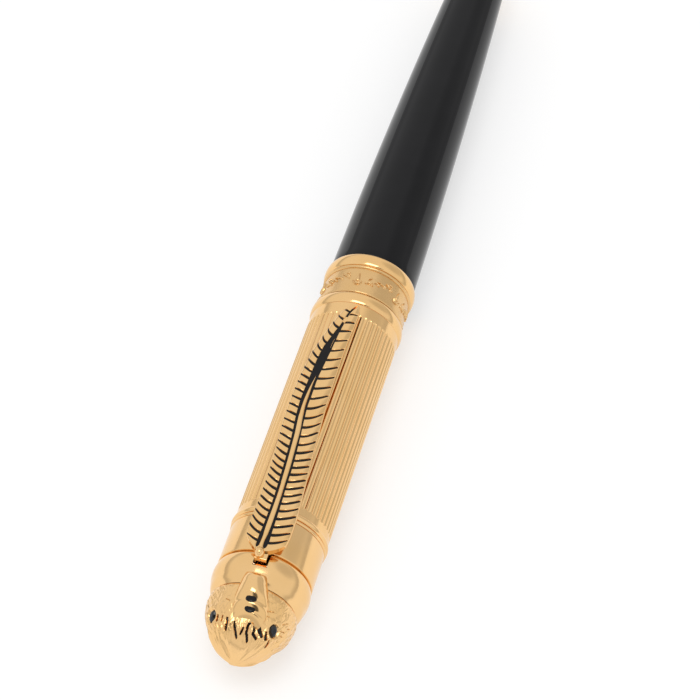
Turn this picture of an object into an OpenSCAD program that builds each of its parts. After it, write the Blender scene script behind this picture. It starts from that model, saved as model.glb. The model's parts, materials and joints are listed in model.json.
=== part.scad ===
// Capped rollerball pen with an eagle-head finial and a feather-shaped clip.
// Every piece is drawn with the pen upright: z = 0 is the cap's mouth, the head is
// up, the tail is down and the clip faces +x. lay_down() then turns the whole pen
// onto its side, with the clip up and the tail towards +x.

/* [Cap] */
// Height of the crown of the head above the cap's mouth
cap_length = 67; // [67:0.5:69]
// Outer radius of the fluted cap tube
tube_r = 6.5; // [6.45:0.05:6.6]
// Number of flutes round the cap tube
flute_count = 50; // [36:1:54]
// Depth of a flute
flute_depth = 0.14; // [0.08:0.02:0.2]
// Height of the mouth ring
mouth_ring_h = 2.1; // [1.8:0.1:2.4]
// Height of the relief band above the mouth ring
relief_band_h = 5.2; // [4.8:0.1:5.4]
// Number of scrolls round the relief band
scroll_count = 12; // [8:1:16]
// Height of the clip band
clip_band_h = 5.8; // [5.4:0.1:6]

/* [Head] */
// Widest radius of the head
head_r = 6; // [5.8:0.05:6.1]
// Radius of an eye stone
eye_r = 0.85; // [0.7:0.05:0.95]
// Angle of an eye from the beak, seen from above the crown
eye_angle = 52; // [46:1:56]
// Angle by which the face is turned from the clip to the pen's left
face_turn = 4.5; // [0:0.5:6]
// Number of feather strands in the tuft over the beak
tuft_count = 7; // [5:1:9]

/* [Clip] */
// Height of the feather's tip above the cap's mouth
feather_tip_z = 10.4; // [10.3:0.1:11.5]
// Thickness of the feather
feather_t = 0.9; // [0.8:0.05:1]
// Number of enamel lines on each side of the quill
barb_count = 31; // [20:1:34]
// Width of an enamel line
barb_w = 0.28; // [0.2:0.02:0.34]
// Radius of the clip's hinge pin
clip_pin_r = 0.5; // [0.4:0.05:0.55]

/* [Barrel] */
// Length of the lacquered barrel
barrel_length = 66; // [66:0.5:68]
// Radius of the barrel where it meets the cap
barrel_mouth_r = 6.29; // [6.2:0.01:6.35]
// Length of the post behind the tail ring
tail_post_h = 5.3; // [4.9:0.1:6]
// Radius of the tail post
tail_post_r = 3.95; // [3.9:0.05:4.05]

/* [Refill] */
// Radius of the refill's tube
refill_r = 3.05; // [3:0.01:3.06]
// Radius of the writing ball
ball_r = 0.35; // [0.3:0.05:0.35]

/* [Hidden] */
$fn = 64;
running_gap = 0.05;
face_gap = 0.03;
through = 1;

// Heights of the cap's pieces above its mouth
relief_top_z = mouth_ring_h + relief_band_h;
tube_z = relief_top_z + 2.1;
clip_band_z = 47.4;
trim_ring_z = clip_band_z - 1.5;
collar_z = clip_band_z + clip_band_h;
head_z = collar_z + 4.8;

// Radii shared by the cap's nested pieces
tube_in_r = 5.75;
ring_in_r = 6;
bead_base_r = 6.35;
band_bead_r = 6.78;
trim_bead_r = 6.8;
plug_r = 5.5;
liner_in_r = 5.3;
liner_end_r = 3.6;
liner_neck_r = 4.65;
liner_top_z = collar_z - 0.6;
plug_z = collar_z - 0.4;
screw_r = 1.4;
screw_head_r = 2.6;
screw_head_h = 1.2;
screw_top_z = head_z + 4.2;

// Head: the eyes are set in round holes, between two distances from the axis
eye_z = 62.4;
eye_in = 4.1;
eye_out = 5.2;

// Flutes
flute_r = 0.45;
flute_z = tube_z + 2.1;
flute_top_z = trim_ring_z - 1.4;

// Clip: the foot turns on a pin inside the plug, and an arm presses on the spring
pin_x = 4.75;
pin_z = collar_z + 1.15;
foot_half_w = 0.8;
foot_half_h = 0.85;
slot_half_w = 1;
slot_in_x = 3.7;
pin_half_length = 1.6;
arm_x = 4.1;
arm_top_z = pin_z + 2.65;
clip_spring_z = pin_z + 1.65;
clip_spring_x = 1.8;
pocket_r = 1;
feather_root_z = collar_z + 0.9;
enamel_depth = 0.25;

// Barrel: heights are negative below the mouth
barrel_wall_in_r = 3.9;
channel_r = 3.3;
insert_r = 5.4;
thread_r = 4.8;
insert_z = -14;
tail_spigot_r = 3.7;
barrel_end_z = -barrel_length;
spigot_z = barrel_end_z + 3.5;
tail_ring_h = 1.2;
post_z = barrel_end_z - tail_ring_h;
tail_z = post_z - tail_post_h;
seat_z = post_z - 2.2;

// Grip section and refill
section_ring_r = liner_in_r - running_gap;
spigot_end_z = -12;
spigot_r = 3.9;
spigot_top_z = 10;
section_ring_top_z = 1.4;
grip_top_z = 31.5;
grip_top_r = 4.1;
grip_r = 5;
snap_z = 3.5;
snap_wire_r = 0.3;
refill_gap = 0.1;
refill_front_z = 33;
refill_nose_r = 2.2;
nose_step_z = 41;
tip_r = 1.2;
nose_cone_top_z = 45.5;
refill_end_z = -63.5;
ball_z = 46.65;

// The pen lies on its widest ring, with its middle over the origin
lying_h = trim_bead_r;
middle_z = (cap_length + tail_z) / 2;

gold = "goldenrod";
brass = "darkgoldenrod";
steel = "silver";
black = "#202022";

// Turns the upright pen onto its side, with the tail towards +x and the clip up
module lay_down() {
    translate([0, 0, lying_h])
        rotate([0, -90, 0])
            translate([0, 0, -middle_z])
                children();
}

// A straight tube between two heights
module sleeve(z_low, z_high, r_out, r_in) {
    difference() {
        translate([0, 0, z_low])
            cylinder(r = r_out, h = z_high - z_low);
        translate([0, 0, z_low - through])
            cylinder(r = r_in, h = z_high - z_low + 2 * through);
    }
}

// A straight rod between two heights
module rod(z_low, z_high, r) {
    translate([0, 0, z_low])
        cylinder(r = r, h = z_high - z_low);
}

// Points of a half-round bead on the outside of a ring
function bead(z_low, z_high, r_base, r_peak, steps = 12) = [
    for (i = [0 : steps])
        [r_base + (r_peak - r_base) * sin(180 * i / steps),
            z_low + (z_high - z_low) * (1 - cos(180 * i / steps)) / 2]
];

// A turned ring: an outer outline from the bottom to the top round a straight bore
module turned_ring(r_in, outer) {
    low = outer[0];
    high = outer[len(outer) - 1];
    rotate_extrude()
        polygon(concat([[r_in, low[1]]], outer, [[r_in, high[1]]]));
}

// A coil spring standing on z = 0
module coil(mean_r, wire_r, height, turns, sides = 8, steps = 20) {
    count = turns * steps;
    rise = height - 2 * wire_r;
    rings = [
        for (i = [0 : count])
            for (k = [0 : sides - 1])
                let (turn = 360 * i / steps,
                    side = 360 * k / sides,
                    r = mean_r + wire_r * cos(side))
                    [r * cos(turn), r * sin(turn),
                        wire_r + rise * i / count + wire_r * sin(side)]
    ];
    walls = [
        for (i = [0 : count - 1])
            for (k = [0 : sides - 1])
                let (low = i * sides, next = (k + 1) % sides)
                    [low + k, low + next, low + sides + next, low + sides + k]
    ];
    first_end = [for (k = [sides - 1 : -1 : 0]) k];
    last_end = [for (k = [0 : sides - 1]) count * sides + k];
    polyhedron(points = rings, faces = concat([first_end], walls, [last_end]));
}

// ---- Cap ----

module cap_tube() {
    color(gold)
    lay_down()
    difference() {
        union() {
            sleeve(0, collar_z, ring_in_r, tube_in_r);
            sleeve(tube_z, trim_ring_z, tube_r, tube_in_r);
        }
        for (i = [0 : flute_count - 1])
            rotate([0, 0, (i + 0.5) * 360 / flute_count])
                translate([tube_r - flute_depth + flute_r, 0, 0])
                    rod(flute_z, flute_top_z, flute_r);
    }
}

module mouth_ring() {
    color(gold)
    lay_down()
    turned_ring(ring_in_r, bead(0, mouth_ring_h, bead_base_r, band_bead_r - 0.03));
}

module relief_band() {
    border = 0.5;
    field_r = tube_r - 0.15;
    scroll_r = 0.9;
    scroll_rise = 0.12;
    leaf_r = 0.55;
    leaf_rise = 0.08;
    leaf_shift = 1.6;
    middle = mouth_ring_h + relief_band_h / 2;
    color(gold)
    lay_down()
    difference() {
        union() {
            turned_ring(ring_in_r, [
                [tube_r, mouth_ring_h],
                [tube_r, mouth_ring_h + border],
                [field_r, mouth_ring_h + border],
                [field_r, relief_top_z - border],
                [tube_r, relief_top_z - border],
                [tube_r, relief_top_z]
            ]);
            for (i = [0 : scroll_count - 1])
                rotate([0, 0, i * 360 / scroll_count]) {
                    translate([tube_r - scroll_r + scroll_rise, 0, middle])
                        sphere(r = scroll_r);
                    rotate([0, 0, 180 / scroll_count])
                        translate([tube_r - leaf_r + leaf_rise, 0, middle + (i % 2 - 0.5) * leaf_shift])
                            sphere(r = leaf_r);
                }
        }
        rod(-through, collar_z, ring_in_r);
    }
}

module band_bead_ring() {
    color(gold)
    lay_down()
    turned_ring(ring_in_r, bead(relief_top_z, tube_z, bead_base_r, band_bead_r));
}

module upper_trim_ring() {
    middle = (trim_ring_z + clip_band_z) / 2;
    color(gold)
    lay_down()
    turned_ring(ring_in_r, concat(
        bead(trim_ring_z, middle, bead_base_r, trim_bead_r, 8),
        bead(middle, clip_band_z, bead_base_r, trim_bead_r, 8)
    ));
}

module clip_band() {
    chamfer = 0.2;
    band_r = tube_r + 0.04;
    color(gold)
    lay_down()
    turned_ring(ring_in_r, [
        [band_r - chamfer, clip_band_z],
        [band_r, clip_band_z + chamfer],
        [band_r, collar_z - chamfer],
        [band_r - chamfer, collar_z]
    ]);
}

module neck_collar() {
    bulge_r = 6.7;
    color(gold)
    lay_down()
    difference() {
        turned_ring(plug_r, [
            [6.2, collar_z],
            [6.45, collar_z + 0.4],
            [bulge_r, collar_z + 1.3],
            [bulge_r, collar_z + 2.1],
            [6.45, collar_z + 3.3],
            [6.15, collar_z + 4.3],
            [5.7, head_z]
        ]);
        clip_slot(pin_z + 1.25);
    }
}

// The slot that the clip's foot passes through, from the clip band up to a height
module clip_slot(top_z) {
    translate([slot_in_x, -slot_half_w, collar_z])
        cube([4, 2 * slot_half_w, top_z - collar_z]);
}

module cap_liner() {
    taper_z = 34;
    neck_z = 44;
    color("dimgray")
    lay_down()
    rotate_extrude()
        polygon([
            [liner_in_r, 1.5],
            [tube_in_r, 1.5],
            [tube_in_r, neck_z],
            [liner_neck_r, neck_z],
            [liner_neck_r, liner_top_z],
            [0, liner_top_z],
            [0, liner_top_z - 0.7],
            [liner_end_r, liner_top_z - 0.7],
            [liner_end_r, neck_z],
            [liner_in_r, taper_z]
        ]);
}

module cap_plug() {
    skirt_z = 45;
    color(brass)
    lay_down()
    difference() {
        union() {
            rod(skirt_z, collar_z, tube_in_r);
            rod(collar_z, head_z - 0.2, plug_r);
        }
        rod(skirt_z - through, plug_z, liner_neck_r + running_gap);
        rod(plug_z - through, plug_z + screw_head_h, screw_head_r);
        rod(plug_z, head_z + through, screw_r);
        clip_slot(pin_z + 2.85);
        translate([clip_spring_x - face_gap, 0, clip_spring_z])
            rotate([0, 90, 0])
                cylinder(r = pocket_r, h = 3);
        translate([pin_x, 0, pin_z])
            rotate([90, 0, 0])
                cylinder(r = clip_pin_r, h = 12, center = true);
    }
}

module head_screw() {
    slot_w = 0.6;
    slot_depth = 0.5;
    color(steel)
    lay_down()
    difference() {
        union() {
            rod(plug_z, plug_z + screw_head_h, screw_head_r);
            rod(plug_z + screw_head_h, screw_top_z, screw_r);
        }
        translate([-3, -slot_w / 2, plug_z - through])
            cube([6, slot_w, through + slot_depth]);
    }
}

// Outline of the head from the neck up to the crown
function head_outline() = [
    [0, head_z],
    [head_r - 0.4, head_z],
    [head_r, head_z + 1],
    [head_r - 0.15, head_z + 2.5],
    [head_r - 0.35, head_z + 3.5],
    [head_r - 0.7, head_z + 4.6],
    [head_r - 1.15, head_z + 5.6],
    [head_r - 1.8, head_z + 6.8],
    [head_r - 2.9, cap_length - 1.3],
    [head_r - 3.9, cap_length - 0.8],
    [head_r - 5.2, cap_length - 0.2],
    [0, cap_length]
];

module eye_place(side) {
    rotate([0, 0, face_turn + side * eye_angle])
        translate([eye_in, 0, eye_z])
            rotate([0, 90, 0])
                children();
}

// Rows of overlapping feathers on the cheeks, the neck and the back of the head
module neck_feathers() {
    rows = 3;
    feathers = 13;
    first_turn = 55;
    span = 250;
    feather_r = 1.15;
    first_x = head_r - 1.05;
    first_z = head_z + 1.6;
    step_in = 0.35;
    step_up = 1.8;
    for (row = [0 : rows - 1])
        for (i = [0 : feathers - 1])
            rotate([0, 0, first_turn + (i + (row % 2) / 2) * span / feathers])
                translate([first_x - step_in * row, 0, first_z + step_up * row])
                    sphere(r = feather_r);
}

// Strands that fan out from the brow and lie back over the crown
module tuft() {
    spread = 76;
    lean = 34;
    root_x = 5.35;
    root_z = 61.6;
    root_r = 0.55;
    end_r = 0.15;
    strand_h = 4;
    for (i = [0 : tuft_count - 1])
        rotate([0, 0, face_turn + spread * (i / (tuft_count - 1) - 0.5)])
            translate([root_x, 0, root_z])
                rotate([0, -lean, 0])
                    cylinder(r1 = root_r, r2 = end_r, h = strand_h, $fn = 24);
}

// A bulging ridge from the brow over the bridge, which hooks down to a point over the neck
module beak() {
    brow_r = 1.7;
    brow = [4.6, 0, 62.2];
    bridge_r = 1.35;
    bridge = [5.85, 0, 60.4];
    point_r = 0.5;
    point = [6.75, 0, 58.1];
    rotate([0, 0, face_turn]) {
        hull() {
            translate(brow)
                sphere(r = brow_r, $fn = 32);
            translate(bridge)
                sphere(r = bridge_r, $fn = 32);
        }
        hull() {
            translate(bridge)
                sphere(r = bridge_r, $fn = 32);
            translate(point)
                sphere(r = point_r, $fn = 32);
        }
    }
}

module eagle_head() {
    color(gold)
    lay_down()
    difference() {
        union() {
            rotate_extrude()
                polygon(head_outline());
            neck_feathers();
            tuft();
            beak();
        }
        rod(head_z - through, screw_top_z + 0.1, screw_r);
        for (side = [-1, 1])
            eye_place(side)
                cylinder(r = eye_r, h = 4);
    }
}

module eye(side) {
    dome_h = 0.3;
    color(black)
    lay_down()
    eye_place(side) {
        cylinder(r = eye_r, h = eye_out - eye_in);
        translate([0, 0, eye_out - eye_in])
            cylinder(r1 = eye_r, r2 = eye_r / 3, h = dome_h);
    }
}

module left_eye() {
    eye(1);
}

module right_eye() {
    eye(-1);
}

// ---- Clip ----

module clip_pin() {
    color(steel)
    lay_down()
    translate([pin_x, 0, pin_z])
        rotate([90, 0, 0])
            cylinder(r = clip_pin_r, h = 2 * pin_half_length, center = true);
}

module clip_spring() {
    color(steel)
    lay_down()
    translate([clip_spring_x, 0, clip_spring_z])
        rotate([0, 90, 0])
            coil(0.75, 0.12, arm_x - clip_spring_x - face_gap, 4);
}

// Share of the way from the feather's tip to its root
function along(z) = (z - feather_tip_z) / (feather_root_z - feather_tip_z);

// Height of the feather's top surface above the pen's axis
function feather_top(z) = 7.47 + 2.9 * along(z) - 2.37 * along(z) * along(z);

// The quill wanders from the middle at the root over to the left, and back at the tip
quill_knots = [[10.4, -0.7], [12, 0.1], [15, 0.5], [18, 0.95], [22, 1.35], [28, 1.55],
    [32, 1.4], [35, 1.05], [42, 0.6], [54.1, 0.4]];
left_knots = [[10.4, -0.3], [11, 0.6], [12.4, 1.45], [15.4, 2.2], [18.7, 2.9], [22, 3.35],
    [28, 3.6], [33, 3.5], [38, 3.1], [50, 2.95], [52, 2.8], [53, 2.3], [54.1, 1.3]];
right_knots = [[10.4, -0.9], [11, -1.1], [22, -1.15], [28, -1.35], [38, -2.05],
    [46, -2.65], [51.5, -2.7], [53, -2.2], [54.1, -1.3]];

function quill_y(z) = lookup(z, quill_knots);
function left_y(z) = lookup(z, left_knots);
function right_y(z) = lookup(z, right_knots);

feather_steps = 44;
quill_tip_z = 24.5;

// The stretch between two curves, seen from above the clip, from a height to the root
module strip(low_y, high_y, z_low = feather_tip_z) {
    rise = (feather_root_z - z_low) / feather_steps;
    polygon(concat(
        [for (i = [0 : feather_steps]) [z_low + rise * i, low_y(z_low + rise * i)]],
        [for (i = [feather_steps : -1 : 0]) [z_low + rise * i, high_y(z_low + rise * i)]]
    ));
}

// Half the quill's width: it fades out towards the tip
function quill_half(z) = 0.06 + 0.4 * (z - quill_tip_z) / (feather_root_z - quill_tip_z);

// Half the width of the black line that surrounds the quill, and swells past its tip
function dark_half(z) = z > quill_tip_z ? quill_half(z) + 0.42 : z > 17 ? 0.55 : 0.16;

// Raises an outline seen from above between two heights over the axis
module raise(x_low, x_high) {
    rotate([0, -90, 0])
        translate([0, 0, -x_high])
            linear_extrude(x_high - x_low)
                children();
}

// A layer that follows the feather's arch, between two depths under its top
module arched_layer(low, high) {
    rotate([-90, -90, 0])
        linear_extrude(10, center = true)
            strip(function (z) feather_top(z) + low, function (z) feather_top(z) + high);
}

module quill_outline() {
    strip(function (z) quill_y(z) - quill_half(z),
        function (z) quill_y(z) + quill_half(z), quill_tip_z);
}

module barb(z, side) {
    slant = 28;
    reach = 6;
    translate([z, quill_y(z)])
        rotate(side > 0 ? 90 + slant : -90 - slant)
            translate([0, -barb_w / 2])
                square([reach, barb_w]);
}

module enamel_outline() {
    first_z = feather_tip_z + 2.6;
    last_z = feather_root_z - 0.6;
    pitch = (last_z - first_z) / (barb_count - 1);
    difference() {
        union() {
            strip(function (z) quill_y(z) - dark_half(z),
                function (z) quill_y(z) + dark_half(z));
            for (i = [0 : barb_count - 1])
                for (side = [-1, 1])
                    barb(first_z + i * pitch, side);
        }
        quill_outline();
    }
}

module enamel_layer() {
    rim = 0.3;
    intersection() {
        raise(5, 10)
            intersection() {
                strip(function (z) right_y(z) + rim, function (z) left_y(z) - rim / 2);
                enamel_outline();
            }
        arched_layer(-enamel_depth, 0);
    }
}

module feather_clip() {
    quill_rise = 0.2;
    knob_r = 0.95;
    knob = [7.85, 0.3, collar_z + 1.2];
    pad_r = 0.7;
    pad_h = 0.9;
    pad = [tube_r + running_gap, 0.2, feather_tip_z + 3.2];
    foot_x = arm_x - 0.2;
    foot_top_x = 7.5;
    arm_t = 1.2;
    color(gold)
    lay_down()
    difference() {
        union() {
            intersection() {
                raise(5, 10)
                    strip(function (z) right_y(z), function (z) left_y(z));
                arched_layer(-feather_t, 0);
            }
            intersection() {
                raise(5, 10)
                    quill_outline();
                arched_layer(-feather_t, quill_rise);
            }
            // the pad that presses on the cap tube
            translate(pad)
                rotate([0, 90, 0])
                    cylinder(r = pad_r, h = pad_h);
            // the knob at the quill's root
            translate(knob)
                sphere(r = knob_r);
            // the foot, with the arm that presses on the spring
            translate([foot_x, -foot_half_w, pin_z - foot_half_h])
                cube([foot_top_x - foot_x, 2 * foot_half_w, 2 * foot_half_h]);
            translate([arm_x, -foot_half_w, pin_z])
                cube([arm_t, 2 * foot_half_w, arm_top_z - pin_z]);
        }
        enamel_layer();
        translate([pin_x, 0, pin_z])
            rotate([90, 0, 0])
                cylinder(r = clip_pin_r + running_gap, h = 4, center = true);
    }
}

module clip_enamel() {
    color(black)
    lay_down()
    enamel_layer();
}

// ---- Barrel ----

// Radius of the barrel at a distance behind the mouth
function barrel_r(d) = barrel_mouth_r - 0.012 * d - 0.0003 * d * d;

module barrel_shell() {
    steps = 16;
    color(black)
    lay_down()
    rotate_extrude()
        polygon(concat(
            [for (i = [0 : steps])
                let (d = -face_gap * 2 - (barrel_end_z + face_gap * 2) * i / steps)
                    [barrel_r(max(0, d)), min(-d, -face_gap * 2)]],
            [
                [tail_spigot_r, barrel_end_z],
                [tail_spigot_r, spigot_z],
                [barrel_wall_in_r, spigot_z],
                [barrel_wall_in_r, insert_z],
                [insert_r, insert_z],
                [insert_r, -face_gap * 2]
            ]
        ));
}

module barrel_liner() {
    color(brass)
    lay_down()
    sleeve(spigot_z, insert_z, barrel_wall_in_r, channel_r);
}

module barrel_insert() {
    color(brass)
    lay_down()
    sleeve(insert_z, -2 * face_gap, insert_r, thread_r + running_gap);
}

module tail_ring() {
    color(gold)
    lay_down()
    turned_ring(tail_spigot_r, bead(post_z, barrel_end_z, 4.1, 4.35));
}

module tail_finial() {
    chamfer = 0.5;
    bore_r = channel_r - 0.05;
    color(gold)
    lay_down()
    rotate_extrude()
        polygon([
            [0, tail_z],
            [tail_post_r - chamfer, tail_z],
            [tail_post_r, tail_z + chamfer],
            [tail_post_r, post_z],
            [tail_spigot_r, post_z],
            [tail_spigot_r, spigot_z],
            [bore_r, spigot_z],
            [bore_r, seat_z],
            [0, seat_z]
        ]);
}

module spring_seat() {
    seat_h = 0.8;
    color("white")
    lay_down() {
        rod(seat_z, seat_z + seat_h, channel_r - 0.1);
        rod(seat_z, seat_z + seat_h + 1, 1.8);
    }
}

module refill_spring() {
    low = seat_z + 0.8;
    color(steel)
    lay_down()
    translate([0, 0, low])
        coil(2.6, 0.25, refill_end_z - low, 4);
}

// ---- Grip section ----

module thread_spigot() {
    color(brass)
    lay_down()
    difference() {
        union() {
            rod(spigot_end_z, -face_gap, thread_r);
            rod(-face_gap, spigot_top_z, spigot_r);
        }
        rod(spigot_end_z - through, spigot_top_z + through, channel_r);
    }
}

module section_ring() {
    chamfer = 0.25;
    color(gold)
    lay_down()
    turned_ring(spigot_r, [
        [section_ring_r - chamfer, -face_gap],
        [section_ring_r, chamfer - face_gap],
        [section_ring_r, section_ring_top_z - chamfer],
        [section_ring_r - chamfer, section_ring_top_z]
    ]);
}

module grip_section() {
    steps = 10;
    taper_z = 6;
    color(black)
    lay_down()
    difference() {
        rotate_extrude()
            polygon(concat(
                [[0, section_ring_top_z], [grip_r, section_ring_top_z]],
                [for (i = [0 : steps])
                    [grip_top_r + (grip_r - grip_top_r) * (1 + cos(180 * i / steps)) / 2,
                        taper_z + (grip_top_z - taper_z) * i / steps]],
                [[0, grip_top_z]]
            ));
        rod(0, spigot_top_z, spigot_r);
        rod(0, grip_top_z + through, refill_r + refill_gap);
        rotate_extrude()
            translate([grip_r, snap_z])
                circle(r = snap_wire_r, $fn = 24);
    }
}

module snap_ring() {
    wire_r = section_ring_r - grip_r;
    color(steel)
    lay_down()
    rotate_extrude()
        translate([grip_r, snap_z])
            circle(r = wire_r, $fn = 24);
}

module nose_cone() {
    color(gold)
    lay_down()
    rotate_extrude()
        polygon([
            [refill_r + refill_gap, grip_top_z],
            [grip_top_r, grip_top_z],
            [grip_top_r - 0.1, grip_top_z + 2],
            [3.4, 39],
            [2.6, 43],
            [1.8, nose_cone_top_z - 0.2],
            [1.6, nose_cone_top_z],
            [tip_r + refill_gap, nose_cone_top_z],
            [tip_r + refill_gap, nose_step_z + refill_gap],
            [refill_nose_r + refill_gap, nose_step_z + refill_gap],
            [refill_nose_r + refill_gap, refill_front_z + refill_gap],
            [refill_r + refill_gap, refill_front_z + refill_gap]
        ]);
}

// ---- Refill ----

refill_in_r = 2.6;
plug_h = 3;
wick_r = 0.5;
nose_low_z = 30;
tip_low_z = 39;

module refill_tube() {
    color("white")
    lay_down()
    sleeve(refill_end_z, refill_front_z, refill_r, refill_in_r);
}

module refill_end_plug() {
    color(black)
    lay_down()
    rod(refill_end_z, refill_end_z + plug_h, refill_in_r);
}

module ink_reservoir() {
    color("midnightblue")
    lay_down()
    rod(refill_end_z + plug_h + 0.5, nose_low_z, refill_in_r);
}

module refill_nose() {
    color("white")
    lay_down()
    difference() {
        union() {
            rod(nose_low_z, refill_front_z, refill_in_r);
            rod(refill_front_z, nose_step_z, refill_nose_r);
        }
        rod(nose_low_z - through, tip_low_z, wick_r);
        rod(tip_low_z, nose_step_z + through, tip_r);
    }
}

module feed_wick() {
    color("midnightblue")
    lay_down()
    rod(nose_low_z, 45.8, wick_r);
}

module refill_tip() {
    cone_z = 43.6;
    lip_r = 0.42;
    lip_z = ball_z + 0.1;
    color(steel)
    lay_down()
    difference() {
        rotate_extrude()
            polygon([
                [0, tip_low_z],
                [tip_r, tip_low_z],
                [tip_r, cone_z],
                [lip_r, lip_z],
                [0, lip_z]
            ]);
        rod(tip_low_z - through, 45.8, wick_r);
        rod(45.8, ball_z, 0.2);
        translate([0, 0, ball_z])
            sphere(r = ball_r + 0.02);
    }
}

module writing_ball() {
    color(steel)
    lay_down()
    translate([0, 0, ball_z])
        sphere(r = ball_r);
}

cap_tube();
mouth_ring();
relief_band();
band_bead_ring();
upper_trim_ring();
clip_band();
neck_collar();
cap_liner();
cap_plug();
head_screw();
eagle_head();
left_eye();
right_eye();
clip_pin();
clip_spring();
feather_clip();
clip_enamel();
barrel_shell();
barrel_liner();
barrel_insert();
tail_ring();
tail_finial();
spring_seat();
refill_spring();
thread_spigot();
section_ring();
grip_section();
snap_ring();
nose_cone();
refill_tube();
refill_end_plug();
ink_reservoir();
refill_nose();
feed_wick();
refill_tip();
writing_ball();
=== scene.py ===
"""Looks of a capped rollerball pen: a gold cap with an eagle's head and a feather clip, and a
black lacquered barrel.

Pieces are drawn in the pen's own coordinates, in millimetres: t runs along the axis from the cap's
mouth (0) up to the crown of the head, r is the distance from the axis, and the azimuth is 0 at the
clip and grows towards +Y. pen_points() turns them into the row frame, in metres.
"""
import json
import math

import bmesh
import bpy
import numpy as np
from mathutils import Matrix, Vector


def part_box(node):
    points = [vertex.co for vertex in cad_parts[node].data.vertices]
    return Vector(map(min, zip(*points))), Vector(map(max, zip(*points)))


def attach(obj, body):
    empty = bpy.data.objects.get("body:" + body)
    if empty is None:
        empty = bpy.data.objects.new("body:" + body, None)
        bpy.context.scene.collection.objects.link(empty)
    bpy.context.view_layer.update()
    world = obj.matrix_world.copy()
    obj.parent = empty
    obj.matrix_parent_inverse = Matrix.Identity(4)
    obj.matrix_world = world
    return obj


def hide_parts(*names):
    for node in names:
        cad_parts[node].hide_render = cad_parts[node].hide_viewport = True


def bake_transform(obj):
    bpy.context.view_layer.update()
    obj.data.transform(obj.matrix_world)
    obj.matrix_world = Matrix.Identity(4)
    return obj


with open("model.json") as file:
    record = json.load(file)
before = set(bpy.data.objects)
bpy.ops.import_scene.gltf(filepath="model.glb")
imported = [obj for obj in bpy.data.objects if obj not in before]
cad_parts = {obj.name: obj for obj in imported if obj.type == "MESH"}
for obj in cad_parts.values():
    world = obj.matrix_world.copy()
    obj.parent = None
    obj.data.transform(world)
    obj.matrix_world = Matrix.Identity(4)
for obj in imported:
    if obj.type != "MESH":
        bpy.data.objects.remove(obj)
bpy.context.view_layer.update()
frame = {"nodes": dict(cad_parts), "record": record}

MM = 0.001
MOUTH_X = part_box("mouth_ring")[1].x
AXIS_Z = (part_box("cap_tube")[0].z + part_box("cap_tube")[1].z) / 2
TAU = 2 * math.pi


def height_of(node, end):
    """The t of a CAD node's end: 0 is the one nearest the tail, 1 the one nearest the crown."""
    low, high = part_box(node)
    return (MOUTH_X - (low.x if end else high.x)) / MM


def radius_of(node):
    low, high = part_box(node)
    return (high.y - low.y) / 2 / MM


CROWN_T = height_of("eagle_head", 1)
NECK_T = height_of("neck_collar", 1)
COLLAR_T = height_of("neck_collar", 0)
CLIP_BAND_T = height_of("clip_band", 0)
SCREW_TOP_T = height_of("head_screw", 1)
TRIM_T = height_of("upper_trim_ring", 0)
TUBE_T = height_of("band_bead_ring", 1)
RELIEF_TOP_T = height_of("band_bead_ring", 0)
RELIEF_LOW_T = height_of("mouth_ring", 1)
TUBE_R = 6.5
RING_IN_R = 6.0
TUBE_IN_R = 5.75


# ---- Meshes ----

def pen_points(t, r, azimuth):
    """Points in the row frame, in metres, of pen coordinates in millimetres."""
    t, r, azimuth = np.broadcast_arrays(t, r, azimuth)
    return np.stack([
        MOUTH_X - t * MM,
        r * np.sin(azimuth) * MM,
        AXIS_Z + r * np.cos(azimuth) * MM,
    ], -1)


def flat_points(t, y, height):
    """Points in the row frame of t, a sideways distance and a height over the axis, in mm."""
    t, y, height = np.broadcast_arrays(t, y, height)
    return np.stack([MOUTH_X - t * MM, y * MM, AXIS_Z + height * MM], -1)


def smooth_curve(knots):
    """A smooth function through (place, value) knots."""
    xs, ys = (np.array(c, float) for c in zip(*knots))
    slopes = np.gradient(ys, xs)

    def value(x):
        x = np.clip(np.asarray(x, float), xs[0], xs[-1])
        i = np.clip(np.searchsorted(xs, x, side="right") - 1, 0, len(xs) - 2)
        span = xs[i + 1] - xs[i]
        u = (x - xs[i]) / span
        return ((2 * u**3 - 3 * u**2 + 1) * ys[i] + (u**3 - 2 * u**2 + u) * span * slopes[i]
                + (3 * u**2 - 2 * u**3) * ys[i + 1] + (u**3 - u**2) * span * slopes[i + 1])

    return value


def smoothstep(x, low=0.0, high=1.0):
    x = np.clip((np.asarray(x, float) - low) / (high - low), 0, 1)
    return x * x * (3 - 2 * x)


def grid_faces(rows, columns, close_rows=False, close_columns=False):
    """Quads over a grid of points, row by row."""
    i = np.arange(rows if close_rows else rows - 1)
    j = np.arange(columns if close_columns else columns - 1)
    i, j = np.meshgrid(i, j, indexing="ij")
    i2, j2 = (i + 1) % rows, (j + 1) % columns
    quads = np.stack([i * columns + j, i * columns + j2, i2 * columns + j2, i2 * columns + j], -1)
    return quads.reshape(-1, 4)


def tube_faces(rows, columns):
    """Faces of rows of points that run round a tube, with both ends closed."""
    faces = grid_faces(rows, columns, close_columns=True).tolist()
    last = (rows - 1) * columns
    return faces + [list(range(columns))[::-1], list(range(last, last + columns))]


def new_mesh(name, points, faces):
    mesh = bpy.data.meshes.new(name)
    mesh.from_pydata(np.asarray(points, float).reshape(-1, 3).tolist(), [], [list(f) for f in faces])
    return mesh


def add_object(name, data):
    thing = bpy.data.objects.new(name, data)
    bpy.context.scene.collection.objects.link(thing)
    return thing


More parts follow.
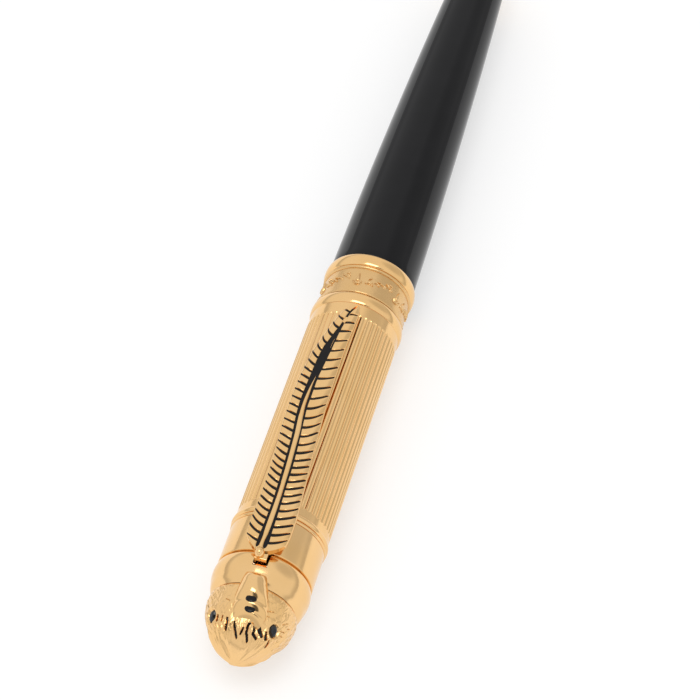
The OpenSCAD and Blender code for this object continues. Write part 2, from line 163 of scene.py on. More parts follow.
def make_piece(name, points, faces, body, material, replaces=(), sharp=35):
    """A closed mesh that rides on a body, stands for some CAD nodes and has one material."""
    mesh = new_mesh(name, points, faces)
    mesh.validate()
    piece = add_object(name, mesh)
    weld(mesh)
    mesh.polygons.foreach_set("use_smooth", [True] * len(mesh.polygons))
    mesh.set_sharp_from_angle(angle=math.radians(sharp))
    mesh.materials.append(material)
    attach(piece, body)
    if replaces:
        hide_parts(*replaces)
    return piece


def weld(mesh):
    """Joins points that lie on each other and makes every face look outwards."""
    bm = bmesh.new()
    bm.from_mesh(mesh)
    bmesh.ops.remove_doubles(bm, verts=bm.verts, dist=1e-7)
    bmesh.ops.dissolve_degenerate(bm, edges=bm.edges, dist=1e-8)
    bmesh.ops.recalc_face_normals(bm, faces=bm.faces)
    bm.to_mesh(mesh)
    bm.free()
    mesh.update()


def rounded(outline, radius, steps=5):
    """A closed outline of (t, r) corners with each corner rounded. A corner given as (t, r, radius)
    has its own radius."""
    result = []
    count = len(outline)
    for k in range(count):
        before, here, after = (np.array(outline[(k + s) % count][:2], float) for s in (-1, 0, 1))
        size = outline[k][2] if len(outline[k]) > 2 else radius
        to_before, to_after = before - here, after - here
        lengths = np.linalg.norm(to_before), np.linalg.norm(to_after)
        to_before, to_after = to_before / lengths[0], to_after / lengths[1]
        half = math.acos(max(-1, min(1, float(to_before @ to_after)))) / 2
        if size <= 0 or half > math.radians(86):
            result.append(tuple(here))
            continue
        reach = min(size / math.tan(half), 0.45 * lengths[0], 0.45 * lengths[1])
        start, end = here + to_before * reach, here + to_after * reach
        for s in range(steps + 1):
            u = s / steps
            result.append(tuple((1 - u) ** 2 * start + 2 * u * (1 - u) * here + u * u * end))
    return result


def turn(name, outline, body, material, replaces=(), segments=256, sharp=40):
    """A piece turned round the axis from a closed outline of (t, r) points."""
    outline = np.array(outline, float)
    azimuths = np.arange(segments) / segments * TAU
    points = pen_points(outline[:, 0, None], outline[:, 1, None], azimuths[None, :])
    faces = grid_faces(len(outline), segments, close_rows=True, close_columns=True)
    return make_piece(name, points, faces, body, material, replaces, sharp)


def upright(name, t, y, outline, body, material, squeeze=1.0, segments=48, sharp=40):
    """A piece turned round an upright line over (t, y) from (r, height) points."""
    outline = np.array(outline, float)
    turns = np.arange(segments) / segments * TAU
    r = outline[:, 0, None]
    points = flat_points(t + r * np.cos(turns), y + squeeze * r * np.sin(turns),
                         outline[:, 1, None] + 0 * turns)
    return make_piece(name, points, tube_faces(len(outline), segments), body, material, (), sharp)


def bead(t_low, t_high, r_base, r_peak, steps=20):
    """The half-round outside of a ring, as (t, r) points."""
    turns = np.linspace(0, math.pi, steps + 1)
    return [(t_low + (t_high - t_low) * (1 - math.cos(a)) / 2, r_base + (r_peak - r_base) * math.sin(a))
            for a in turns]


# ---- Materials ----

def set_ranges(node, from_low, from_high, low, high):
    """Sets what a Map Range node maps from, and what to."""
    for key, number in zip(("From Min", "From Max", "To Min", "To Max"), (from_low, from_high, low, high)):
        node.inputs[key].default_value = number


class Nodes:
    """A material with a Principled shader, and short calls that add nodes to it."""

    def __init__(self, name):
        self.material = bpy.data.materials.new(name)
        self.material.use_nodes = True
        self.tree = self.material.node_tree
        self.shader = self.tree.nodes["Principled BSDF"]
        self.place = self.add("ShaderNodeTexCoord").outputs["Object"]

    def add(self, kind, **settings):
        node = self.tree.nodes.new(kind)
        for key, value in settings.items():
            setattr(node, key, value)
        return node

    def link(self, output, socket):
        self.tree.links.new(output, socket)

    def set(self, **values):
        for key, value in values.items():
            self.shader.inputs[key.replace("_", " ")].default_value = value

    def noise(self, scale, detail=4, roughness=0.5, stretch=None):
        """A noise value over the piece; stretch is how much finer it is along each axis."""
        node = self.add("ShaderNodeTexNoise")
        node.inputs["Scale"].default_value = scale
        node.inputs["Detail"].default_value = detail
        node.inputs["Roughness"].default_value = roughness
        place = self.place
        if stretch:
            mapping = self.add("ShaderNodeMapping")
            mapping.inputs["Scale"].default_value = stretch
            self.link(place, mapping.inputs["Vector"])
            place = mapping.outputs["Vector"]
        self.link(place, node.inputs["Vector"])
        return node.outputs["Fac"]

    def span(self, value, low, high, from_low=0.3, from_high=0.7):
        """A value mapped from one range to another."""
        node = self.add("ShaderNodeMapRange")
        self.link(value, node.inputs["Value"])
        set_ranges(node, from_low, from_high, low, high)
        return node.outputs["Result"]

    def mix(self, factor, first, second):
        """A colour between two, by a value."""
        node = self.add("ShaderNodeMix", data_type="RGBA")
        self.link(factor, node.inputs["Factor"])
        for key, colour in (("A", first), ("B", second)):
            socket = [s for s in node.inputs if s.name == key and s.type == "RGBA"][0]
            if isinstance(colour, bpy.types.NodeSocket):
                self.link(colour, socket)
            else:
                socket.default_value = (*colour, 1)
        return [s for s in node.outputs if s.type == "RGBA"][0]

    def bump(self, value, distance, strength=1.0, normal=None):
        node = self.add("ShaderNodeBump")
        node.inputs["Strength"].default_value = strength
        node.inputs["Distance"].default_value = distance
        self.link(value, node.inputs["Height"])
        if normal is not None:
            self.link(normal, node.inputs["Normal"])
        return node.outputs["Normal"]

    def finish(self, colour=None, roughness=None, normal=None):
        for value, key in ((colour, "Base Color"), (roughness, "Roughness"), (normal, "Normal")):
            if value is not None:
                self.link(value, self.shader.inputs[key])
        return self.material


def gold(name, roughness=(0.10, 0.17), ripple=0.0, tint=1.0):
    """Polished gold plate: slow changes of tone, faint polishing haze and hair scratches."""
    n = Nodes(name)
    n.set(Metallic=1.0)
    tone = n.span(n.noise(160, 3), 0, 1)
    colour = n.mix(tone, (0.885 * tint, 0.575 * tint, 0.27 * tint), (0.855 * tint, 0.54 * tint, 0.23 * tint))
    haze = n.span(n.noise(900, 5), *roughness)
    scratches = n.noise(5200, 2, stretch=(0.15, 1, 1))
    normal = n.bump(scratches, 0.000002, 0.15)
    if ripple:
        normal = n.bump(n.noise(420, 3), 0.00002, ripple, normal)
    return n.finish(colour, haze, normal)


def bare_brass():
    """Turned brass, with fine tool rings."""
    n = Nodes("plain_brass_turned")
    n.set(Metallic=1.0)
    colour = n.mix(n.span(n.noise(300), 0, 1), (0.70, 0.50, 0.22), (0.60, 0.42, 0.18))
    rings = n.noise(9000, 2, stretch=(1, 0.02, 0.02))
    return n.finish(colour, n.span(n.noise(700), 0.24, 0.36), n.bump(rings, 0.00001, 0.4))


def steel(name, colour=(0.66, 0.66, 0.68), roughness=(0.2, 0.32)):
    n = Nodes(name)
    n.set(Metallic=1.0)
    shade = n.mix(n.span(n.noise(400), 0, 1), colour, tuple(c * 0.88 for c in colour))
    grain = n.noise(9000, 2, stretch=(1, 0.03, 0.03))
    return n.finish(shade, n.span(n.noise(900), *roughness), n.bump(grain, 0.000006, 0.4))


def lacquer():
    """Deep black lacquer over metal: near-black, glassy, with the faintest orange peel and dust."""
    n = Nodes("black_lacquer_gloss")
    n.set(IOR=1.3)
    colour = n.mix(n.span(n.noise(200), 0, 1), (0.0035, 0.0035, 0.0042), (0.0055, 0.0055, 0.0065))
    peel = n.bump(n.noise(700, 2), 0.000004, 0.25)
    return n.finish(colour, n.span(n.noise(1500, 4), 0.035, 0.07), peel)


def enamel():
    """Glossy black enamel that settled a little unevenly in its grooves. The same black is also painted shade
    in the head's slits and the beak's hollows.
    """
    n = Nodes("black_enamel_and_painted_shade_gloss")
    n.set(IOR=1.28)
    colour = n.mix(n.span(n.noise(500), 0, 1), (0.004, 0.004, 0.005), (0.010, 0.008, 0.008))
    return n.finish(colour, n.span(n.noise(2500, 4), 0.10, 0.24), n.bump(n.noise(2600, 3), 0.00002, 0.5))


def stone():
    """Polished black stone with a hint of blue in its depth."""
    n = Nodes("black_stone_facets")
    n.set(IOR=1.5)
    colour = n.mix(n.span(n.noise(900), 0, 1), (0.004, 0.005, 0.007), (0.010, 0.013, 0.018))
    return n.finish(colour, n.span(n.noise(2000), 0.04, 0.10), n.bump(n.noise(3000, 2), 0.000003, 0.3))


def plastic(name, dark, light, roughness=(0.3, 0.42), grain=0.3):
    n = Nodes(name)
    n.set(IOR=1.46)
    colour = n.mix(n.span(n.noise(350), 0, 1), dark, light)
    return n.finish(colour, n.span(n.noise(1200), *roughness), n.bump(n.noise(4200, 4), 0.00001, grain))


def fibre():
    n = Nodes("ink_fibre_bundle")
    threads = n.noise(7000, 3, stretch=(0.03, 1, 1))
    colour = n.mix(n.span(threads, 0, 1), (0.006, 0.009, 0.04), (0.02, 0.03, 0.10))
    n.set(IOR=1.38)
    return n.finish(colour, n.span(n.noise(900), 0.5, 0.7), n.bump(threads, 0.00003, 0.7))


GOLD = gold("gold_plate_polished")
GOLD_CAST = gold("gold_plate_cast", roughness=(0.17, 0.27), ripple=0.35)
GOLD_BAND = gold("gold_plate_band", roughness=(0.22, 0.31), ripple=0.2, tint=0.88)
BRASS = bare_brass()
STEEL = steel("steel_satin")
BALL = steel("ball_metal_polished", (0.60, 0.60, 0.63), (0.08, 0.14))
LACQUER = lacquer()
# real black enamel for the clip's lines, and painted shade in the head's slits and the beak's hollows
ENAMEL_AND_PAINTED_SHADE = enamel()
STONE = stone()
RESIN = plastic("black_resin_polished", (0.006, 0.006, 0.007), (0.012, 0.012, 0.014), (0.06, 0.12), 0.08)
LINER = plastic("liner_plastic_dark", (0.020, 0.020, 0.022), (0.035, 0.035, 0.038))
WHITE = plastic("white_plastic_moulded", (0.70, 0.70, 0.68), (0.80, 0.80, 0.78))
INK = fibre()
FINISHES = {
    "gold_plate": GOLD, "plain_brass": BRASS, "steel": STEEL, "ball_metal": BALL, "black_stone": STONE,
    "black_enamel": ENAMEL_AND_PAINTED_SHADE, "black_lacquer": LACQUER, "black_resin": RESIN, "liner_plastic": LINER,
    "white_plastic": WHITE, "ink_fibre": INK,
}


# ---- Camera, light and floor ----

CAMERA_DISTANCE = 0.35953
CAMERA_LENS = 130.5
CAMERA_AZIMUTH = math.radians(-166.5785)
CAMERA_ELEVATION = math.radians(51.3930)
CAMERA_ROLL = math.radians(2.8431)
AIM = Vector((MOUTH_X - 0.012605, -0.000356, AXIS_Z))
LAMP_AIM = Vector((0, 0, 0.007))
TENT_TOP_LEVEL = 0.92
HORIZON_LEVEL = 0.62
TABLE_GLOW = 0.52


def camera_back():
    """Direction from the pen to the camera."""
    return Vector((
        math.cos(CAMERA_ELEVATION) * math.cos(CAMERA_AZIMUTH),
        math.cos(CAMERA_ELEVATION) * math.sin(CAMERA_AZIMUTH),
        math.sin(CAMERA_ELEVATION),
    ))


def make_camera():
    data = bpy.data.cameras.new("camera")
    data.sensor_width = 36
    data.lens = CAMERA_LENS
    data.clip_start = 0.01
    data.clip_end = 20
    camera = add_object("camera", data)
    back = camera_back()
    turned = back.to_track_quat("Z", "Y").to_matrix().to_4x4() @ Matrix.Rotation(CAMERA_ROLL, 4, "Z")
    camera.matrix_world = Matrix.Translation(AIM + back * CAMERA_DISTANCE) @ turned
    bpy.context.scene.camera = camera


def make_light(name, place, size, power):
    """A rectangular lamp that looks at LAMP_AIM."""
    data = bpy.data.lights.new(name, "AREA")
    data.shape = "RECTANGLE"
    data.size, data.size_y = size
    data.energy = power
    light = add_object(name, data)
    direction = Vector(place) - LAMP_AIM
    light.matrix_world = Matrix.Translation(place) @ direction.to_track_quat("Z", "Y").to_matrix().to_4x4()


class Tent:
    """The white tent as a sky: darker close to the floor, in a soft shade on one side, and where it
    opens for the camera."""

    def __init__(self, world):
        self.tree = world.node_tree
        self.direction = self.tree.nodes.new("ShaderNodeTexCoord").outputs["Generated"]
        self.level = None

    def ramp(self, value, low, high, from_low, from_high):
        node = self.tree.nodes.new("ShaderNodeMapRange")
        node.interpolation_type = "SMOOTHSTEP"
        self.tree.links.new(value, node.inputs["Value"])
        set_ranges(node, from_low, from_high, low, high)
        if self.level is None:
            self.level = node.outputs["Result"]
            return
        product = self.tree.nodes.new("ShaderNodeMath")
        product.operation = "MULTIPLY"
        self.tree.links.new(self.level, product.inputs[0])
        self.tree.links.new(node.outputs["Result"], product.inputs[1])
        self.level = product.outputs["Value"]

    def shade(self, toward, level, reach, edge):
        """Darkens the sky around a direction: to level within reach degrees, back to full at edge."""
        dot = self.tree.nodes.new("ShaderNodeVectorMath")
        dot.operation = "DOT_PRODUCT"
        self.tree.links.new(self.direction, dot.inputs[0])
        dot.inputs[1].default_value = Vector(toward).normalized()
        outside, inside = math.cos(math.radians(edge)), math.cos(math.radians(reach))
        self.ramp(dot.outputs["Value"], 1.0, level, outside, inside)

    def finish(self):
        height = self.tree.nodes.new("ShaderNodeSeparateXYZ")
        self.tree.links.new(self.direction, height.inputs["Vector"])
        self.ramp(height.outputs["Z"], HORIZON_LEVEL, TENT_TOP_LEVEL, 0.08, 0.28)
        self.shade((0.61, -0.60, 0.52), 0.72, 8, 30)
        self.shade(camera_back(), 0.12, 9, 16)
        background = self.tree.nodes["Background"]
        background.inputs["Color"].default_value = (1, 1, 1, 1)
        self.tree.links.new(self.level, background.inputs["Strength"])


def make_studio():
    """A pale, faintly lit table under a white tent, with a square key light above the head."""
    world = bpy.data.worlds.new("studio")
    bpy.context.scene.world = world
    world.use_nodes = True
    tent = Tent(world)
    tent.finish()
    half = 3.0
    corners = [(-half, -half, 0), (half, -half, 0), (half, half, 0), (-half, half, 0)]
    mesh = new_mesh("floor", corners, [(0, 1, 2, 3)])
    floor = add_object("floor", mesh)
    paper = Nodes("floor_paper")
    paper.set(Roughness=0.7, Emission_Color=(1, 1, 1, 1), Emission_Strength=TABLE_GLOW)
    paper.finish(paper.mix(paper.span(paper.noise(3), 0, 1), (0.48, 0.48, 0.48), (0.50, 0.50, 0.50)))
    mesh.materials.append(paper.material)
    make_light("key", (-0.17, 0.03, 0.60), (0.30, 0.30), 0.8)


make_camera()
make_studio()
bpy.context.scene.view_settings.view_transform = "Standard"


# ---- Cap ----

def make_cap_tube():
    """The cap's tube, milled with round-ended flutes."""
    count, depth, cutter = 50, 0.14, 0.45
    flute_low, flute_high = TUBE_T + 2.1, TRIM_T - 1.4
    columns = count * 16
    ends = np.linspace(-0.45, 0.25, 15)
    rows = np.concatenate([
        [TUBE_T], flute_low + ends, np.linspace(flute_low + 0.6, flute_high - 0.6, 30),
        flute_high - ends[::-1], [TRIM_T],
    ])
    azimuths = (np.arange(columns) + 0.5) / columns * TAU
    off = (azimuths * count / TAU) % 1 - 0.5
    across = off * TAU / count * TUBE_R
    beyond = np.maximum(0, np.maximum(flute_low - rows, rows - flute_high))
    reach = np.maximum(0, cutter**2 - across[None, :]**2 - beyond[:, None]**2)
    cut = np.maximum(0, np.sqrt(reach) - (cutter - depth))
    outer = pen_points(rows[:, None], TUBE_R - cut, azimuths[None, :])
    inside = [(TRIM_T, RING_IN_R), (COLLAR_T, RING_IN_R), (COLLAR_T, TUBE_IN_R), (0, TUBE_IN_R),
              (0, RING_IN_R), (TUBE_T, RING_IN_R)]
    inner = [pen_points(t, r, azimuths) for t, r in inside]
    points = np.concatenate([outer, np.array(inner)])
    faces = grid_faces(len(points), columns, close_rows=True, close_columns=True)
    make_piece("cap_tube_fluted", points, faces, "cap", GOLD, ["cap_tube"], sharp=28)


def make_rings():
    """The polished rings between the cap's parts."""
    turn("mouth_bead", [(0, RING_IN_R)] + bead(0.02, RELIEF_LOW_T - 0.02, 6.36, 6.745)
         + [(RELIEF_LOW_T, RING_IN_R)], "cap", GOLD, ["mouth_ring"])
    turn("band_bead", [(RELIEF_TOP_T, RING_IN_R)] + bead(RELIEF_TOP_T + 0.04, TUBE_T - 0.04, 6.36, 6.775)
         + [(TUBE_T, RING_IN_R)], "cap", GOLD, ["band_bead_ring"])
    middle = TRIM_T + 0.95
    turn("trim_beads", [(TRIM_T, RING_IN_R)] + bead(TRIM_T + 0.02, middle - 0.02, 6.42, 6.78)
         + bead(middle + 0.02, CLIP_BAND_T - 0.02, 6.42, 6.66)
         + [(CLIP_BAND_T, RING_IN_R)], "cap", GOLD, ["upper_trim_ring"])
    turn("clip_band_plain", rounded([
        (CLIP_BAND_T + 0.01, RING_IN_R, 0), (CLIP_BAND_T + 0.01, 6.54, 0.12),
        (COLLAR_T - 0.01, 6.54, 0.15), (COLLAR_T - 0.01, RING_IN_R, 0)], 0.1),
        "cap", GOLD, ["clip_band"])


make_cap_tube()
make_rings()


# ---- Cap: band, collar and head ----

def stroke_distance(x, y, points):
    """Distance of points (x, y) from a line through some points, and the share of it that is passed."""
    points = np.array(points, float)
    lengths = np.linalg.norm(np.diff(points, axis=0), axis=1)
    before = np.concatenate([[0], np.cumsum(lengths)])
    nearest = np.full(np.shape(x), 1e9)
    share = np.zeros(np.shape(x))
    for a, b, length, start in zip(points[:-1], points[1:], lengths, before):
        along = np.clip(((x - a[0]) * (b[0] - a[0]) + (y - a[1]) * (b[1] - a[1])) / length**2, 0, 1)
        distance = np.hypot(x - a[0] - along * (b[0] - a[0]), y - a[1] - along * (b[1] - a[1]))
        closer = distance < nearest
        nearest = np.where(closer, distance, nearest)
        share = np.where(closer, (start + along * length) / before[-1], share)
    return nearest, share


def ridge(x, y, points, width, end_width=None, soft=0.5):
    """A rounded ridge, 0 to 1 high, along a line; its half-width goes from width to end_width."""
    distance, share = stroke_distance(x, y, points)
    half = width + ((width if end_width is None else end_width) - width) * share
    return np.clip(1 - (distance / half) ** 2, 0, 1) ** soft


def rough_noise(x, y, scale, seed, wrap=None):
    """Smooth random values, -1 to 1, over a plane; wrap is the length after which x repeats."""
    dice = np.random.default_rng(seed)
    cells = max(2, round(wrap * scale)) if wrap else 512
    table = dice.uniform(-1, 1, (cells, 512))
    u, v = np.asarray(x, float) * (cells / wrap if wrap else scale), np.asarray(y, float) * scale + 128
    i, j = np.floor(u).astype(int), np.floor(v).astype(int)
    a, b = smoothstep(u - i), smoothstep(v - j)
    i, i2, j, j2 = i % cells, (i + 1) % cells, j % 512, (j + 1) % 512
    return ((1 - a) * (1 - b) * table[i, j] + a * (1 - b) * table[i2, j]
            + (1 - a) * b * table[i, j2] + a * b * table[i2, j2])


def make_relief_band():
    """The band over the mouth: a field with drops, arcs, beads and leaf strokes between raised borders."""
    repeats, field_r, top_r = 6, 6.27, 6.53
    pitch = TAU * TUBE_R / repeats
    columns, rows = repeats * 110, 110
    t = np.linspace(RELIEF_LOW_T, RELIEF_TOP_T, rows)[:, None]
    azimuths = np.arange(columns) / columns * TAU
    u = (azimuths / TAU * repeats % 1 * pitch)[None, :]
    low, high = RELIEF_LOW_T + 0.5, RELIEF_TOP_T - 0.5
    middle = (low + high) / 2
    ornament = np.zeros((rows, columns))
    strokes = [
        # a drop over two small arcs
        ([(0.9, middle - 0.95), (0.9, middle + 0.1)], 0.06, 0.33),
        ([(0.3, middle + 0.45), (0.5, middle + 0.8), (0.9, middle + 0.9)], 0.12, 0.09),
        ([(0.9, middle + 0.9), (1.3, middle + 0.8), (1.5, middle + 0.45)], 0.09, 0.12),
        # a leafy scroll with beads
        ([(2.5, middle - 0.95), (2.8, middle - 1.0)], 0.17, 0.17),
        ([(2.35, middle - 0.35), (2.5, middle - 0.3)], 0.21, 0.21),
        ([(2.45, middle - 0.6), (3.0, middle - 0.55), (3.45, middle - 0.85)], 0.14, 0.08),
        ([(3.5, middle - 0.1), (3.55, middle - 0.1)], 0.18, 0.18),
        ([(3.5, middle - 0.15), (4.1, middle - 0.35), (4.7, middle - 0.4)], 0.10, 0.10),
        ([(4.4, middle + 0.15), (4.45, middle + 0.15)], 0.16, 0.16),
        ([(4.5, middle + 0.1), (5.0, middle - 0.15), (5.4, middle + 0.2)], 0.08, 0.12),
        ([(5.3, middle + 0.55), (5.9, middle + 0.35), (6.4, middle + 0.45)], 0.09, 0.12),
        ([(5.8, middle - 0.6), (6.1, middle - 0.2)], 0.13, 0.05),
    ]
    for shift in (-pitch, 0, pitch):
        for points, width, end_width in strokes:
            moved = np.array(points, float) + (shift, 0)
            ornament = np.maximum(ornament, ridge(u, t, moved, width, end_width))
    ring = np.sqrt(np.clip(1 - ((t - low + 0.25) / 0.27) ** 2, 0, 1))
    border = np.maximum(ring, smoothstep(t, high - 0.02, high + 0.12))
    groove = (np.exp(-((t - RELIEF_LOW_T - 0.04) / 0.06) ** 2)
              + np.exp(-((t - RELIEF_TOP_T + 0.04) / 0.06) ** 2))
    hammered = 0.004 * rough_noise(azimuths[None, :] * TUBE_R, t, 3.0, 11, TAU * TUBE_R)
    radius = field_r + hammered + (top_r - field_r) * np.maximum(ornament, border) - 0.12 * groove
    outer = pen_points(t, radius, azimuths[None, :])
    inner = [pen_points(end, RING_IN_R, azimuths) for end in (RELIEF_TOP_T, RELIEF_LOW_T)]
    points = np.concatenate([outer, np.array(inner)])
    faces = grid_faces(len(points), columns, close_rows=True, close_columns=True)
    make_piece("relief_band_scrolls", points, faces, "cap", GOLD_BAND, ["relief_band"],
               sharp=50)


def cut(piece, cutter_points, cutter_faces):
    """Cuts a closed shape out of a piece."""
    mesh = new_mesh("cutter", cutter_points, cutter_faces)
    weld(mesh)
    cutter = add_object("cutter", mesh)
    modifier = piece.modifiers.new("cut", "BOOLEAN")
    modifier.object = cutter
    modifier.operation = "DIFFERENCE"
    modifier.solver = "EXACT"
    bpy.context.view_layer.update()
    result = bpy.data.meshes.new_from_object(piece.evaluated_get(bpy.context.evaluated_depsgraph_get()))
    piece.modifiers.clear()
    piece.data = result
    bpy.data.objects.remove(cutter)


BLOCK_FACES = [(0, 1, 3, 2), (4, 6, 7, 5), (0, 4, 5, 1), (2, 3, 7, 6), (0, 2, 6, 4), (1, 5, 7, 3)]


def block_points(t_span, y_span, height_span):
    return [flat_points(t, y, h) for t in t_span for y in y_span for h in height_span]


def make_collar():
    """The polished collar under the head, with the slot that the clip's foot comes out of."""
    profile = smooth_curve([
        (COLLAR_T, 6.2), (COLLAR_T + 0.35, 6.46), (COLLAR_T + 1.1, 6.68), (COLLAR_T + 2.0, 6.71),
        (COLLAR_T + 3.2, 6.48), (COLLAR_T + 4.2, 6.16), (NECK_T - 0.02, 5.72)])
    places = np.linspace(COLLAR_T + 0.01, NECK_T - 0.02, 40)
    outline = [(COLLAR_T + 0.01, 5.5)] + [(t, float(profile(t))) for t in places] + [(NECK_T - 0.02, 5.5)]
    collar = turn("collar_polished", outline, "cap", GOLD, ["neck_collar"])
    cut(collar, block_points((COLLAR_T - 0.5, COLLAR_T + 2.4), (-1, 1), (3.7, 8)), BLOCK_FACES)


FACE_TURN = math.radians(-2)
FACE_R = 5.4
FEATHERED_R = 5.6
EYES = {"left": (62.55, math.radians(54)), "right": (62.6, math.radians(-51))}
DOME_CURVE = [
    (NECK_T, 5.55), (NECK_T + 0.12, 5.8), (NECK_T + 0.5, 5.96), (NECK_T + 1.1, 6.02), (NECK_T + 2.5, 5.86),
    (NECK_T + 3.5, 5.66), (NECK_T + 4.6, 5.30), (NECK_T + 5.6, 4.87), (NECK_T + 6.8, 4.14),
    (NECK_T + 7.7, 3.2), (CROWN_T - 0.75, 2.2), (CROWN_T - 0.25, 1.1), (CROWN_T - 0.06, 0.0)]


def dome_profile(rows):
    """Evenly spaced t and r along the head's outline, and its outward normals."""
    knots = np.array(DOME_CURVE)
    lengths = np.concatenate([[0], np.cumsum(np.linalg.norm(np.diff(knots, axis=0), axis=1))])
    s = np.linspace(0, lengths[-1], rows)
    t = smooth_curve(list(zip(lengths, knots[:, 0])))(s)
    r = np.maximum(smooth_curve(list(zip(lengths, knots[:, 1])))(s), 0)
    dt, dr = np.gradient(t), np.gradient(r)
    size = np.hypot(dt, dr)
    return t, r, -dr / size, dt / size


def dome_points(t, azimuth, lift):
    """Points of the head's outline at t, moved outwards by lift. The back of the crown lies lower."""
    places, radii, normal_t, normal_r = dome_profile(400)
    r = np.interp(t, places, radii)
    n_t, n_r = np.interp(t, places, normal_t), np.interp(t, places, normal_r)
    return head_points(t + lift * n_t, r + lift * n_r, azimuth)


def head_points(t, r, azimuth):
    """Points of the head at t and r. The crown lies lower at the back, and most at its left."""
    behind = smoothstep(np.abs((azimuth + math.pi) % TAU - math.pi), math.radians(65), math.radians(115))
    sunk = smoothstep(t, NECK_T + 2.2, CROWN_T - 1.8)
    r = r * (1 - (0.15 + 0.30 * np.clip(np.sin(azimuth), 0, 1)) * sunk * behind)
    across, up = r * np.sin(azimuth), r * np.cos(azimuth)
    up = np.where(up < 0, up * (1 - 0.40 * sunk), up)
    return flat_points(t, across, up)


def shingles(t, s, pitch_t, width, depth, seed):
    """Overlapping feathers, 0 to depth high, whose round ends point to the neck. s runs round the head."""
    dice = np.random.default_rng(seed)
    covered = np.full(np.shape(t), -1e9)
    count = round(TAU * FEATHERED_R / width)
    rows = int((CROWN_T - NECK_T) / pitch_t) + 3
    for row in range(rows):
        phase = s * count / TAU + 0.5 * (row % 2) + 0.25 * math.sin(row * 2.3)
        cell = np.floor(phase).astype(int) % count
        off = phase - np.floor(phase) - 0.5
        jitter = dice.uniform(-0.22, 0.22, count)[cell]
        end = NECK_T + (row - 1) * pitch_t + pitch_t * jitter + 1.1 * pitch_t * np.abs(2 * off) ** 1.7
        covered = np.where((end <= t) & (end > covered), end, covered)
    past = (t - covered) / pitch_t
    return depth * np.clip(1 - past * 0.8, 0, 1)


def head_relief(t, r, azimuth, slits=True):
    """How far the head's surface stands out from its plain outline: feathers, brow, tuft, eye sockets."""
    s = azimuth * FACE_R
    around = TAU * FACE_R
    from_face = np.abs((azimuth - FACE_TURN + math.pi) % TAU - math.pi)
    crown = smoothstep(t, 63.9, 65.2)
    cheek = (1 - crown) * smoothstep(t, NECK_T + 0.05, NECK_T + 0.7)
    lift = shingles(t + 0.12 * rough_noise(s, t, 1.1, 5, around), azimuth, 0.78, 1.05, 0.065, 3) * cheek
    lift += (0.026 * cheek * rough_noise(s, t, 2.2, 7, around)
             + 0.010 * cheek * rough_noise(s, t, 5.5, 8, around))
    lift += 0.07 * cheek * rough_noise(s, t, 0.7, 17, around)
    lift += 0.05 * crown * rough_noise(s * 2.6, t * 0.45, 1.0, 9, around * 2.6) * np.clip(r / 3, 0, 1)
    lift += 0.20 * smoothstep(t, 62, 64) * rough_noise(s, t, 0.8, 19, around) * np.clip(r / 3, 0, 1)
    beside = smoothstep(from_face, math.radians(62), math.radians(85))
    lift -= 0.32 * beside * np.exp(-((t - 63.7) / 0.35) ** 2)
    for dt, az in EYES.values():
        dx, dy = s - az * FACE_R, t - dt
        near = np.hypot(dx, dy)
        lift += 0.10 * np.exp(-((near - 1.15) / 0.3) ** 2) - 0.30 * (1 - smoothstep(near, 0.65, 1.0))
    # the ruffled tuft over the brow, parted by deep slits
    tuft = np.exp(-((t - 63.9) / 0.85) ** 2) * (1 - smoothstep(from_face, math.radians(42), math.radians(66)))
    lift += 0.28 * tuft
    lift += 0.06 * tuft * np.sin(s * 8.5 + 2.0 * rough_noise(s, t, 0.9, 21, around))
    if slits:
        for points, width, end_width in TUFT_SLITS:
            line = [(math.radians(az) * FACE_R, place) for place, az in points]
            lift -= 0.62 * ridge(s, t, line, 1.3 * width, 1.3 * end_width, soft=0.6)
    for points in FACE_LINES:
        line = [(math.radians(az) * FACE_R, place) for place, az in points]
        lift -= 0.13 * ridge(s, t, line, 0.09, 0.05)
    return lift


TUFT_SLITS = [
    ([(63.2, 22.5), (63.85, 22.3), (64.45, 23.5)], 0.11, 0.15),
    ([(63.6, 10.3), (64.4, 7.5), (65.15, 3.0)], 0.11, 0.14),
    ([(64.0, -5.3), (64.7, -3.2)], 0.09, 0.12),
    ([(62.95, -12.8), (63.7, -11.0), (64.4, -12.0), (65.2, -19.5)], 0.13, 0.13),
    ([(62.9, -13.5), (63.1, -19.0), (63.85, -22.0), (64.25, -22.5), (64.55, -31.5)], 0.13, 0.12),
    ([(63.1, -23.5), (63.65, -30.5), (64.0, -36.5)], 0.24, 0.16),
    ([(63.35, -39.5), (64.0, -44.5)], 0.10, 0.14),
    ([(63.9, -50.5), (64.65, -54.0)], 0.08, 0.07),
    ([(62.9, 31), (63.5, 33)], 0.08, 0.08),
    ([(62.7, 40), (63.4, 41)], 0.08, 0.08),
]
FACE_LINES = [
    [(62.75, 5), (62.3, -7), (61.85, -18)],
    [(62.1, -59), (61.7, -67.5)],
    [(62.45, -62), (62.3, -69.5)],
    [(61.2, -57), (60.4, -66)],
    [(61.05, -69), (60.65, -75)],
    [(62.9, -61), (63.2, -68)],
    [(61.9, 63), (61.6, 71)],
    [(62.4, 64), (62.3, 73)],
    [(61.2, 61), (60.5, 69)],
    [(60.9, -30), (60.6, -37)],
    [(61.6, -28), (61.5, -34)],
    [(60.9, 24), (60.6, 31)],
]


